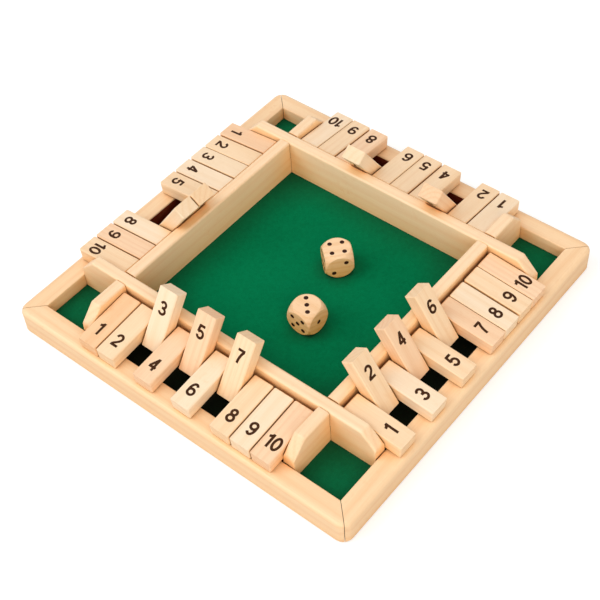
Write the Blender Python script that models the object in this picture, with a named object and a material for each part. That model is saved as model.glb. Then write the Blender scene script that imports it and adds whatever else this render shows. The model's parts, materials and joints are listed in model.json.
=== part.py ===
"""Four-sided shut the box game: a square tray with a row of ten tipping tiles along each side.

Units are metres and +Z is up. The origin is the centre of the box, at the level it stands on.
The front side faces -Y, and the other sides are the front side turned about Z. A side is worked
out once, in its own frame: x runs along the row from tile 1 to tile 10, -y is outward, z is up.
"""

import math

import bmesh
import bpy
from mathutils import Matrix, Vector

MM = 0.001

# Clearance kept between pieces that touch
GAP = 0.3 * MM

# How far a cutter runs past the piece it cuts
OVERRUN = 1.0 * MM

# Points closer than WELD are one point; a point closer than NEAR to a level lies on it
WELD = 0.01 * MM
NEAR = 0.1 * MM

# Faces that meet at less than FLAT_TURN are one flat face; edges of more than SHARP_TURN stay sharp
FLAT_TURN = math.radians(1)
SHARP_TURN = math.radians(30)

# Outer frame of four mitred rails
BOX_SIDE = 225.0 * MM
RAIL_WIDTH = 11.8 * MM
RAIL_TOP = 15.2 * MM
CORNER_RADIUS = 6.0 * MM
RAIL_EDGE_RADIUS = 2.6 * MM
RAIL_INNER_EASE = 0.7 * MM
RAIL_FOOT_EASE = 0.5 * MM

# Plywood floor, held in a groove in the rails, and the felt glued on it
GROOVE_DEPTH = 5.0 * MM
BASE_UNDERSIDE = 2.4 * MM
BASE_THICKNESS = 3.0 * MM
FELT_THICKNESS = 1.0 * MM

# Tray walls, half-lapped where they cross
TRAY_SIDE = 131.0 * MM
WALL_THICKNESS = 7.0 * MM
WALL_TOP = 30.3 * MM
WALL_EDGE_RADIUS = 1.2 * MM
WALL_FLAT_HALF_LENGTH = 91.5 * MM
WALL_END_TOP = 20.9 * MM

# Rod of a row, and where it runs
ROD_DIAMETER = 3.0 * MM
ROD_OUT = 82.7 * MM
ROD_HEIGHT = 22.2 * MM
ROD_HOLE_DEPTH = 5.0 * MM
ROD_CLEARANCE = 0.3 * MM

# Tiles, measured from the rod: the free end lies on the rail, the heel is beside the wall
TILES_PER_ROW = 10
TILE_PITCH = 13.1 * MM
TILE_WIDTH = 12.3 * MM
TILE_THICKNESS = 8.0 * MM
TILE_REACH = 27.1 * MM
TILE_HEEL = 8.5 * MM
HEEL_CHAMFER = 0.5 * MM
TILE_SIDE_EASE = 0.5 * MM

# Dice
DIE_SIDE = 16.0 * MM
DIE_BALL_RADIUS = 11.0 * MM
PIP_RADIUS = 1.35 * MM
PIP_DEPTH = 0.45 * MM
PIP_STEP = 3.5 * MM

# Facets of round pieces and of rounded edges
ROD_SIDES = 16
PIP_SIDES = 12
BALL_SUBDIVISIONS = 4
CORNER_FACETS = 5
RAIL_EDGE_FACETS = 4
RAIL_INNER_FACETS = 2
RAIL_FOOT_FACETS = 1
WALL_EDGE_FACETS = 3

SIDE_NAMES = ("front", "right", "back", "left")

# Tiles that lean in on the wall; all the others lie out on the rail
TIPPED_IN = {"front": (3, 5, 7), "right": (2, 4, 6), "back": (3, 7), "left": (6, 7)}

# Tiles that have slid along the rod, to stand close to the tile after them, which has slid as far back
CLOSE_TO_NEXT = {"front": (), "right": (7, 9), "back": (5, 9), "left": (2,)}
CLOSE_SLIDE = 0.2 * MM

# Each die: its place on the felt, its turn about Z in degrees, and whether it lies the other way up
DICE = {
    "die_near": {"place": (16.6 * MM, -21.0 * MM), "turn": -1.7, "flipped": False},
    "die_far": {"place": (4.1 * MM, 21.1 * MM), "turn": -40.5, "flipped": True},
}

# Worked out from the sizes above
HALF_BOX = BOX_SIDE / 2
RAIL_INNER = HALF_BOX - RAIL_WIDTH
FELT_UNDERSIDE = BASE_UNDERSIDE + BASE_THICKNESS + GAP
FELT_TOP = FELT_UNDERSIDE + FELT_THICKNESS
WALL_FOOT = FELT_TOP + GAP
WALL_IN = TRAY_SIDE / 2
WALL_OUT = WALL_IN + WALL_THICKNESS
WALL_MID = WALL_IN + WALL_THICKNESS / 2
WALL_HALF_LENGTH = RAIL_INNER - GAP
LAP_HEIGHT = (WALL_FOOT + WALL_TOP) / 2


def clear_scene():
    """Remove every object of the start-up scene."""
    for obj in list(bpy.data.objects):
        bpy.data.objects.remove(obj, do_unlink=True)


def new_collection(name):
    """A collection in the scene."""
    collection = bpy.data.collections.new(name)
    bpy.context.scene.collection.children.link(collection)
    return collection


def new_material(name, colour, roughness, metallic=0.0):
    """A plain material of one colour."""
    material = bpy.data.materials.new(name)
    material.use_nodes = True
    shader = material.node_tree.nodes["Principled BSDF"]
    shader.inputs["Base Color"].default_value = (*colour, 1.0)
    shader.inputs["Roughness"].default_value = roughness
    shader.inputs["Metallic"].default_value = metallic
    return material


def mesh_from_bmesh(name, bm):
    """A mesh with what the bmesh holds, which is then freed."""
    mesh = bpy.data.meshes.new(name)
    bm.to_mesh(mesh)
    bm.free()
    return mesh


def block_mesh(name, low, high):
    """A box between two opposite corners."""
    bm = bmesh.new()
    bmesh.ops.create_cube(bm, size=1.0)
    size = Vector(high) - Vector(low)
    middle = (Vector(high) + Vector(low)) / 2
    placing = Matrix.Translation(middle) @ Matrix.Diagonal((*size, 1.0))
    bmesh.ops.transform(bm, matrix=placing, verts=bm.verts)
    return mesh_from_bmesh(name, bm)


def cylinder_mesh(name, radius, length, sides):
    """A cylinder along x, centred on the origin."""
    bm = bmesh.new()
    bmesh.ops.create_cone(bm, cap_ends=True, segments=sides, radius1=radius, radius2=radius,
                          depth=length)
    bmesh.ops.rotate(bm, matrix=Matrix.Rotation(math.pi / 2, 3, "Y"), verts=bm.verts)
    return mesh_from_bmesh(name, bm)


def outline_mesh(name, loops, thickness, ease=0.0):
    """A flat outline in the xy plane, with any holes as further loops, extruded both ways in z.

    The edges round both faces are chamfered by ease, inside the outline.
    """
    curve = bpy.data.curves.new(name, "CURVE")
    curve.dimensions = "2D"
    curve.fill_mode = "BOTH"
    curve.extrude = thickness / 2 - ease
    curve.bevel_depth = ease
    curve.bevel_resolution = 0
    curve.offset = -ease
    for loop in loops:
        spline = curve.splines.new("POLY")
        spline.points.add(len(loop) - 1)
        for point, (x, y) in zip(spline.points, loop):
            point.co = (x, y, 0.0, 1.0)
        spline.use_cyclic_u = True
    drawn = bpy.data.objects.new(name, curve)
    bpy.context.scene.collection.objects.link(drawn)
    depsgraph = bpy.context.evaluated_depsgraph_get()
    mesh = bpy.data.meshes.new_from_object(drawn.evaluated_get(depsgraph))
    bpy.data.objects.remove(drawn, do_unlink=True)
    bm = bmesh.new()
    bm.from_mesh(mesh)
    bmesh.ops.remove_doubles(bm, verts=bm.verts, dist=WELD)
    bmesh.ops.recalc_face_normals(bm, faces=bm.faces)
    bm.to_mesh(mesh)
    bm.free()
    mesh.name = name
    return mesh


def circle_loop(radius, sides):
    """Corners of a round hole, for outline_mesh."""
    turns = [2 * math.pi * k / sides for k in range(sides)]
    return [(radius * math.cos(turn), radius * math.sin(turn)) for turn in turns]


def round_edges(mesh, chosen, radius, facets):
    """Round every edge whose two ends both pass the test chosen."""
    bm = bmesh.new()
    bm.from_mesh(mesh)
    bmesh.ops.dissolve_limit(bm, angle_limit=FLAT_TURN, verts=bm.verts, edges=bm.edges)
    edges = [edge for edge in bm.edges if all(chosen(vert.co) for vert in edge.verts)]
    bmesh.ops.bevel(bm, geom=edges, offset=radius, segments=facets, profile=0.5, affect="EDGES")
    bm.to_mesh(mesh)
    bm.free()


def cut_or_keep(mesh, cutter_mesh, operation):
    """The mesh after a Boolean with another mesh."""
    body = bpy.data.objects.new("body", mesh)
    cutter = bpy.data.objects.new("cutter", cutter_mesh)
    for obj in (body, cutter):
        bpy.context.scene.collection.objects.link(obj)
    boolean = body.modifiers.new("shape", "BOOLEAN")
    boolean.operation = operation
    boolean.solver = "EXACT"
    boolean.object = cutter
    depsgraph = bpy.context.evaluated_depsgraph_get()
    result = bpy.data.meshes.new_from_object(body.evaluated_get(depsgraph))
    result.name = mesh.name
    for obj in (body, cutter):
        bpy.data.objects.remove(obj, do_unlink=True)
    return result


def joined_mesh(name, meshes):
    """Several separate cutters in one mesh."""
    bm = bmesh.new()
    for mesh in meshes:
        bm.from_mesh(mesh)
    return mesh_from_bmesh(name, bm)


def add_piece(name, mesh, material, collection, parent=None):
    """A named piece, with its own material, shaded smooth where it is round."""
    obj = bpy.data.objects.new(name, mesh)
    collection.objects.link(obj)
    if not mesh.materials:
        mesh.materials.append(None)
    obj.material_slots[0].link = "OBJECT"
    obj.material_slots[0].material = material
    mesh.shade_smooth()
    mesh.set_sharp_from_angle(angle=SHARP_TURN)
    obj.parent = parent
    return obj


def side_empties(collection):
    """One empty for each side of the box, turned so that its -y points outward."""
    empties = {}
    for k, side in enumerate(SIDE_NAMES):
        empty = bpy.data.objects.new("side_" + side, None)
        empty.rotation_euler.z = k * math.pi / 2
        collection.objects.link(empty)
        empties[side] = empty
    return empties


def frame_envelope():
    """The outer form of the glued frame: rounded corners, a rounded top edge and an eased foot."""
    half = HALF_BOX
    mesh = block_mesh("envelope", (-half, -half, 0), (half, half, RAIL_TOP))
    bm = bmesh.new()
    bm.from_mesh(mesh)
    uprights = [edge for edge in bm.edges if abs(edge.verts[0].co.z - edge.verts[1].co.z) > RAIL_TOP / 2]
    bmesh.ops.bevel(bm, geom=uprights, offset=CORNER_RADIUS, segments=CORNER_FACETS, profile=0.5,
                    affect="EDGES")
    bm.to_mesh(mesh)
    bm.free()
    round_edges(mesh, lambda co: co.z > RAIL_TOP - NEAR, RAIL_EDGE_RADIUS, RAIL_EDGE_FACETS)
    round_edges(mesh, lambda co: co.z < NEAR, RAIL_FOOT_EASE, RAIL_FOOT_FACETS)
    return mesh


def rail_mesh():
    """The front rail: a mitred bar with the frame's rounded outside and the groove for the floor."""
    mitre_gap = GAP / math.sqrt(2)
    outer, inner = HALF_BOX - mitre_gap, RAIL_INNER - mitre_gap
    corners = [(-outer, -HALF_BOX), (outer, -HALF_BOX), (inner, -RAIL_INNER), (-inner, -RAIL_INNER)]
    mesh = outline_mesh("rail", [corners], RAIL_TOP)
    mesh.transform(Matrix.Translation((0, 0, RAIL_TOP / 2)))
    round_edges(mesh, lambda co: co.y > -RAIL_INNER - NEAR and co.z > RAIL_TOP - NEAR,
                RAIL_INNER_EASE, RAIL_INNER_FACETS)
    mesh = cut_or_keep(mesh, frame_envelope(), "INTERSECT")
    groove_reach = RAIL_INNER + GROOVE_DEPTH
    groove = block_mesh("groove", (-groove_reach, -groove_reach, BASE_UNDERSIDE - GAP),
                        (groove_reach, 0, BASE_UNDERSIDE + BASE_THICKNESS + GAP))
    return cut_or_keep(mesh, groove, "DIFFERENCE")


def wall_blank():
    """A front wall before its laps: a board on edge, rounded on top, its ends sloped down to the rails."""
    flat, end = WALL_FLAT_HALF_LENGTH, WALL_HALF_LENGTH
    outline = [(-end, WALL_FOOT), (end, WALL_FOOT), (end, WALL_END_TOP), (flat, WALL_TOP),
               (-flat, WALL_TOP), (-end, WALL_END_TOP)]
    mesh = outline_mesh("wall", [outline], WALL_THICKNESS)
    mesh.transform(Matrix.Translation((0, -WALL_MID, 0)) @ Matrix.Rotation(math.pi / 2, 4, "X"))
    round_edges(mesh, lambda co: co.z > WALL_END_TOP - NEAR, WALL_EDGE_RADIUS, WALL_EDGE_FACETS)
    return mesh


def wall_mesh(notched_below):
    """A front wall with its two laps, from below or from above, and its two blind rod holes."""
    if notched_below:
        lap_low, lap_high = 0, LAP_HEIGHT + GAP / 2
    else:
        lap_low, lap_high = LAP_HEIGHT - GAP / 2, WALL_TOP + OVERRUN
    hole_radius = ROD_DIAMETER / 2 + ROD_CLEARANCE
    hole_middle = -WALL_IN + (OVERRUN - ROD_HOLE_DEPTH) / 2
    cutters = []
    for end in (-1, 1):
        near, far = sorted((end * (WALL_IN - GAP), end * (WALL_OUT + GAP)))
        lap = block_mesh("lap", (near, -WALL_OUT - OVERRUN, lap_low), (far, -WALL_IN + OVERRUN, lap_high))
        hole = cylinder_mesh("rod_hole", hole_radius, ROD_HOLE_DEPTH + OVERRUN, ROD_SIDES)
        place = Matrix.Translation((end * ROD_OUT, hole_middle, ROD_HEIGHT))
        hole.transform(place @ Matrix.Rotation(math.pi / 2, 4, "Z"))
        cutters += [lap, hole]
    return cut_or_keep(wall_blank(), joined_mesh("wall_cutters", cutters), "DIFFERENCE")


def tile_mesh():
    """A tile about its rod: x is along the rod, -y towards the free end, and a round bore at the origin."""
    half = TILE_THICKNESS / 2
    heel_flat, heel_lip = TILE_HEEL - HEEL_CHAMFER, half - HEEL_CHAMFER
    outline = [(-heel_flat, -half), (TILE_REACH, -half), (TILE_REACH, half), (-heel_flat, half),
               (-TILE_HEEL, heel_lip), (-TILE_HEEL, -heel_lip)]
    bore = circle_loop(ROD_DIAMETER / 2 + ROD_CLEARANCE, ROD_SIDES)
    mesh = outline_mesh("tile", [outline, bore], TILE_WIDTH, TILE_SIDE_EASE)
    along, up, across = Vector((0, -1, 0)), Vector((0, 0, 1)), Vector((-1, 0, 0))
    mesh.transform(Matrix((along, up, across)).transposed().to_4x4())
    return mesh


def tilt_lying_out():
    """How far the free end drops below level where its lower edge rests on the rail."""
    drop, half = ROD_HEIGHT - RAIL_TOP - GAP, TILE_THICKNESS / 2
    return math.asin(drop / math.hypot(TILE_REACH, half)) - math.atan2(half, TILE_REACH)


def tilt_leaning_in():
    """How far the tile has turned from level where it leans on the rounded top edge of the wall."""
    out = ROD_OUT - (WALL_OUT - WALL_EDGE_RADIUS)
    up = WALL_TOP - WALL_EDGE_RADIUS - ROD_HEIGHT
    face_to_rounding = TILE_THICKNESS / 2 + WALL_EDGE_RADIUS + GAP
    return math.atan2(up, -out) + math.acos(face_to_rounding / math.hypot(out, up)) - math.pi / 2


def tile_place(side, number):
    """Where a tile stands along its rod, from the middle of the row."""
    place = (number - (TILES_PER_ROW + 1) / 2) * TILE_PITCH
    if number in CLOSE_TO_NEXT[side]:
        place += CLOSE_SLIDE
    if number - 1 in CLOSE_TO_NEXT[side]:
        place -= CLOSE_SLIDE
    return place


def pip_pattern():
    """Pips of each face of a die: the face's outward axis, and the pips' places on the face."""
    one, three = [(0, 0)], [(-1, 1), (0, 0), (1, -1)]
    corners = [(-1, -1), (-1, 1), (1, -1), (1, 1)]
    return [
        ("+z", three), ("-z", corners),
        ("-y", corners + one), ("+y", [(-1, 1), (1, -1)]),
        ("+x", one), ("-x", corners + [(0, -1), (0, 1)]),
    ]


def pip_places():
    """Centre of each pip on the die's faces, and the direction that the face looks."""
    half = DIE_SIDE / 2
    for face, pips in pip_pattern():
        sign = 1 if face[0] == "+" else -1
        axis = "xyz".index(face[1])
        others = [k for k in range(3) if k != axis]
        for first, second in pips:
            place, outward = Vector((0, 0, 0)), Vector((0, 0, 0))
            place[axis], outward[axis] = sign * half, sign
            place[others[0]], place[others[1]] = first * PIP_STEP, second * PIP_STEP
            yield place, outward


def die_mesh():
    """A cube with ball-rounded edges and corners and a shallow drilled dimple for each pip."""
    half = DIE_SIDE / 2
    ball = bmesh.new()
    bmesh.ops.create_icosphere(ball, subdivisions=BALL_SUBDIVISIONS, radius=DIE_BALL_RADIUS)
    cube = block_mesh("die", (-half, -half, -half), (half, half, half))
    mesh = cut_or_keep(cube, mesh_from_bmesh("ball", ball), "INTERSECT")
    drill_radius = (PIP_RADIUS ** 2 + PIP_DEPTH ** 2) / (2 * PIP_DEPTH)
    drills = bmesh.new()
    for place, outward in pip_places():
        centre = place + outward * (drill_radius - PIP_DEPTH)
        to_face = Vector((0, 0, 1)).rotation_difference(outward).to_matrix().to_4x4()
        bmesh.ops.create_uvsphere(drills, u_segments=PIP_SIDES, v_segments=PIP_SIDES,
                                  radius=drill_radius, matrix=Matrix.Translation(centre) @ to_face)
    return cut_or_keep(mesh, mesh_from_bmesh("drills", drills), "DIFFERENCE")


def build_frame(wood, collection, sides):
    """Four rails, mitred at the corners."""
    mesh = rail_mesh()
    for side in SIDE_NAMES:
        add_piece("rail_" + side, mesh, wood, collection, sides[side])


def build_floor(plywood, felt, collection):
    """The plywood in the rails' groove, and the felt on it."""
    reach, base_top = RAIL_INNER + GROOVE_DEPTH - GAP, BASE_UNDERSIDE + BASE_THICKNESS
    base = block_mesh("base", (-reach, -reach, BASE_UNDERSIDE), (reach, reach, base_top))
    add_piece("base", base, plywood, collection)
    reach = RAIL_INNER - GAP
    sheet = block_mesh("felt", (-reach, -reach, FELT_UNDERSIDE), (reach, reach, FELT_TOP))
    add_piece("felt", sheet, felt, collection)


def build_walls(wood, collection, sides):
    """The front and back walls lie over the right and left walls where they cross."""
    over, under = wall_mesh(notched_below=True), wall_mesh(notched_below=False)
    for side in SIDE_NAMES:
        mesh = over if side in ("front", "back") else under
        add_piece("wall_" + side, mesh, wood, collection, sides[side])


def build_rods(steel, collection, sides):
    """One rod a side, its ends in blind holes in the two walls that it meets."""
    length = 2 * (WALL_IN + ROD_HOLE_DEPTH - GAP)
    mesh = cylinder_mesh("rod", ROD_DIAMETER / 2, length, ROD_SIDES)
    for side in SIDE_NAMES:
        rod = add_piece("rod_" + side, mesh, steel, collection, sides[side])
        rod.location = (0, -ROD_OUT, ROD_HEIGHT)


def build_tiles(wood, collection, sides):
    """Ten tiles on each rod, each with its origin on the rod's axis."""
    mesh = tile_mesh()
    for side in SIDE_NAMES:
        for number in range(1, TILES_PER_ROW + 1):
            tile = add_piece(f"tile_{side}_{number:02d}", mesh, wood, collection, sides[side])
            tile.location = (tile_place(side, number), -ROD_OUT, ROD_HEIGHT)
            leans_in = number in TIPPED_IN[side]
            tile.rotation_euler.x = -tilt_leaning_in() if leans_in else tilt_lying_out()


def build_dice(wood, collection):
    """Both dice lie on the felt; a flipped one shows the opposite face on top."""
    mesh = die_mesh()
    flip = Matrix.Rotation(-math.pi / 2, 3, "Z") @ Matrix.Rotation(math.pi, 3, "Y")
    for name, pose in DICE.items():
        die = add_piece(name, mesh, wood, collection)
        die.location = (*pose["place"], FELT_TOP + GAP + DIE_SIDE / 2)
        turned = Matrix.Rotation(math.radians(pose["turn"]), 3, "Z")
        if pose["flipped"]:
            turned = turned @ flip
        die.rotation_euler = turned.to_euler()


def main():
    """Build the whole game, side by side, with its materials."""
    clear_scene()
    collection = new_collection("shut_the_box_game")
    wood = new_material("waxed_wood", (0.80, 0.58, 0.38), 0.5)
    tile_wood = new_material("tile_wood", (0.84, 0.64, 0.44), 0.5)
    die_wood = new_material("die_wood", (0.78, 0.55, 0.34), 0.45)
    plywood = new_material("plywood", (0.70, 0.52, 0.34), 0.6)
    felt = new_material("green_felt", (0.0, 0.15, 0.06), 0.95)
    steel = new_material("steel", (0.6, 0.6, 0.6), 0.3, metallic=1.0)
    sides = side_empties(collection)
    build_frame(wood, collection, sides)
    build_floor(plywood, felt, collection)
    build_walls(wood, collection, sides)
    build_rods(steel, collection, sides)
    build_tiles(tile_wood, collection, sides)
    build_dice(die_wood, collection)


main()
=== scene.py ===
"""Portrait of a four-sided shut the box game.

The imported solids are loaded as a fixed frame. This script gives each one its finish, prints the
numbers on the tiles, fills the pips of the dice, and sets up the floor, the light and the camera.
"""

from __future__ import annotations

import json
import logging
import math
import random
from collections import defaultdict
from dataclasses import dataclass
from enum import Enum
from typing import Any, Iterator

import bmesh
import bpy
from bpy.types import Material, Mesh, Node, NodeSocket, NodeTree, Object
from mathutils import Matrix, Quaternion, Vector
from mathutils.geometry import delaunay_2d_cdt

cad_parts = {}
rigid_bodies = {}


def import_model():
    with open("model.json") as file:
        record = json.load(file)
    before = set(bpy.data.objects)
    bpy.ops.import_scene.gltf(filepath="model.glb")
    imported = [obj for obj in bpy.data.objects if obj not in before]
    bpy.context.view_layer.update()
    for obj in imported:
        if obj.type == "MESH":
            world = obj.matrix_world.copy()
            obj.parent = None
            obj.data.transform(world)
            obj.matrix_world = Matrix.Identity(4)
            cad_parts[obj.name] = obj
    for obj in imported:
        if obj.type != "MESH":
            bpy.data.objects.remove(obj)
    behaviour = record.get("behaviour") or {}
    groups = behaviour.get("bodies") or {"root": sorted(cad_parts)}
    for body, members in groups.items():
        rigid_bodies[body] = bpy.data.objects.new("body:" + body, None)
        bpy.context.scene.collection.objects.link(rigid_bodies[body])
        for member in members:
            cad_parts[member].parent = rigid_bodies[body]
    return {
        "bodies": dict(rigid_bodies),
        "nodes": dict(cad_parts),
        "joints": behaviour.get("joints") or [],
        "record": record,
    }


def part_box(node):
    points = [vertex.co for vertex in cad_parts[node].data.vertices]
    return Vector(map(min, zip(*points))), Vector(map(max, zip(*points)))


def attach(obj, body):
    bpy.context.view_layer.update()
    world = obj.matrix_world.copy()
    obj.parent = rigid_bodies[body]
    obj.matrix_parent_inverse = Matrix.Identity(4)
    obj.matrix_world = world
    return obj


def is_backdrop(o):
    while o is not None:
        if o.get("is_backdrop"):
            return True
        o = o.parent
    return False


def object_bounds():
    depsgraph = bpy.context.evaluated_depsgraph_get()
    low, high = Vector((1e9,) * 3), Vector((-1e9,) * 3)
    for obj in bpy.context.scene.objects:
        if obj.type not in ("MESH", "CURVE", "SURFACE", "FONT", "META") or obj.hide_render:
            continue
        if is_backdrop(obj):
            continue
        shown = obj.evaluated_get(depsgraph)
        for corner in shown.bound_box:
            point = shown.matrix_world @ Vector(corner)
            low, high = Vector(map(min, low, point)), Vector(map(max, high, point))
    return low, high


log = logging.getLogger("shut_the_box")

MM = 0.001

Pair = tuple[float, float]
Triple = tuple[float, float, float]
Colour = tuple[float, float, float, float]

WHITE = (1.0, 1.0, 1.0, 1.0)
UP = Vector((0, 0, 1))


class Side(Enum):
    """The four sides of the box, each a quarter turn on from the one before."""

    FRONT = "front"
    RIGHT = "right"
    BACK = "back"
    LEFT = "left"

    def outward(self) -> Vector:
        """The level direction out of the box on this side."""
        return Quaternion(UP, list(Side).index(self) * math.pi / 2) @ Vector((0, -1, 0))

    def along(self) -> Vector:
        """The level direction along this side, to the right as seen from outside."""
        return UP.cross(self.outward())


def srgb(red: int, green: int, blue: int) -> Colour:
    """Turn a colour as it looks on screen into the linear values that a shader takes.

    Args:
        red: Red, from 0 to 255.
        green: Green, from 0 to 255.
        blue: Blue, from 0 to 255.

    Returns:
        The linear colour, with an alpha of 1.
    """

    def linear(channel: int) -> float:
        """Undo the screen curve for one channel."""
        value = channel / 255
        return value / 12.92 if value <= 0.04045 else ((value + 0.055) / 1.055) ** 2.4

    return (linear(red), linear(green), linear(blue), 1.0)


class Effect(Enum):
    """The effects that more than one material uses, each a shader node group."""

    TIMBER = "timber_figure"
    EDGE_WEAR = "edge_wear"
    HANDLING = "handling_marks"
    SHELTER = "sheltered_corners"
    TROUGHS = "tile_troughs"


class Wiring:
    """Adds nodes to one node tree and links them."""

    def __init__(self, tree: NodeTree) -> None:
        """Keep the tree that the nodes go in."""
        self.tree = tree

    def link_or_set(self, socket: NodeSocket, value: Any) -> None:
        """Give an input what it takes.

        Args:
            socket: The input.
            value: A socket to link to it, or a value to set.
        """
        if isinstance(value, NodeSocket):
            self.tree.links.new(value, socket)
        else:
            socket.default_value = value

    def feed(self, node: Node, inputs: dict[Any, Any]) -> None:
        """Feed inputs of a node, each by its name or number."""
        for key, value in inputs.items():
            self.link_or_set(node.inputs[key], value)

    def node(self, kind: str, inputs: dict[Any, Any] | None = None, **settings: Any) -> Node:
        """Add a node, give it its settings, and feed its inputs.

        Args:
            kind: The node's type, without its Shader Node prefix.
            inputs: For each input's name or number, a socket to link or a value to set.
            settings: The node's own properties.

        Returns:
            The new node.
        """
        node = self.tree.nodes.new("ShaderNode" + kind)
        for name, value in settings.items():
            setattr(node, name, value)
        self.feed(node, inputs or {})
        return node

    def effect(self, effect: Effect, inputs: dict[str, Any]) -> Any:
        """Place a shared effect, with sockets or values for its inputs, and give its outputs."""
        return self.node("Group", inputs, node_tree=bpy.data.node_groups[effect.value]).outputs

    def math(self, operation: str, *values: Any, clamp: bool = False) -> NodeSocket:
        """One sum on numbers, as a socket."""
        node = self.node("Math", dict(enumerate(values)), operation=operation, use_clamp=clamp)
        return node.outputs[0]

    def times(self, first: Any, second: Any) -> NodeSocket:
        """Two numbers multiplied, as a socket."""
        return self.math("MULTIPLY", first, second)

    def total(self, *shares: tuple[Any, Any], start: Any = None, clamp: bool = False) -> NodeSocket:
        """Add up values, each times its own share.

        Args:
            shares: Pairs of a value and its share, each a socket or a number.
            start: What they are added to, where there is something.
            clamp: Whether the sum stays from 0 to 1.

        Returns:
            The sum.
        """
        added = [self.times(value, share) for value, share in shares]
        whole = added.pop(0) if start is None else start
        for part in added:
            whole = self.math("ADD", whole, part, clamp=clamp and part is added[-1])
        return whole

    def vector(self, operation: str, *values: Any) -> NodeSocket:
        """One sum on vectors, as a socket: a number for a dot product, or else a vector."""
        node = self.node("VectorMath", dict(enumerate(values)), operation=operation)
        return node.outputs["Value" if operation == "DOT_PRODUCT" else "Vector"]

    def noise(self, place: Any, scale: Any, detail: float, roughness: float = 0.5) -> NodeSocket:
        """Smooth noise from 0 to 1, as a socket."""
        inputs = {"Vector": place, "Scale": scale, "Detail": detail, "Roughness": roughness}
        return self.node("TexNoise", inputs).outputs["Fac"]

    def streaks(self, place: Any, scales: Any, detail: float, roughness: float = 0.5) -> NodeSocket:
        """Smooth noise with its own scale along each axis, from 0 to 1, as a socket."""
        return self.noise(self.vector("MULTIPLY", place, scales), 1.0, detail, roughness)

    def remap(self, value: Any, low: Any = 0.0, high: Any = 1.0, onto: Pair = (0.0, 1.0)) -> NodeSocket:
        """Stretch a range of values onto another and clamp it, as a socket."""
        inputs = {"Value": value, "From Min": low, "From Max": high, "To Min": onto[0], "To Max": onto[1]}
        return self.node("MapRange", inputs).outputs["Result"]

    def mix(self, factor: Any, first: Any, second: Any, blend: str = "MIX") -> NodeSocket:
        """Mix two colours.

        Args:
            factor: The second colour's share.
            first: The first colour.
            second: The second colour.
            blend: How the second is laid over the first.

        Returns:
            The mixed colour.
        """
        node = self.node("Mix", data_type="RGBA", blend_type=blend, clamp_factor=True)
        sockets = {socket.identifier: socket for socket in (*node.inputs, *node.outputs)}
        for name, value in (("Factor_Float", factor), ("A_Color", first), ("B_Color", second)):
            self.link_or_set(sockets[name], value)
        return sockets["Result_Color"]

    def bump(self, height: Any, strength: float, distance: float) -> NodeSocket:
        """The surface's normal with small heights pressed into it, as a socket."""
        inputs = {"Height": height, "Strength": strength, "Distance": distance}
        return self.node("Bump", inputs).outputs["Normal"]


# A wave texture of scale 1 has its rings this far apart.
WAVE_SPACING = math.pi / 10


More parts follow.
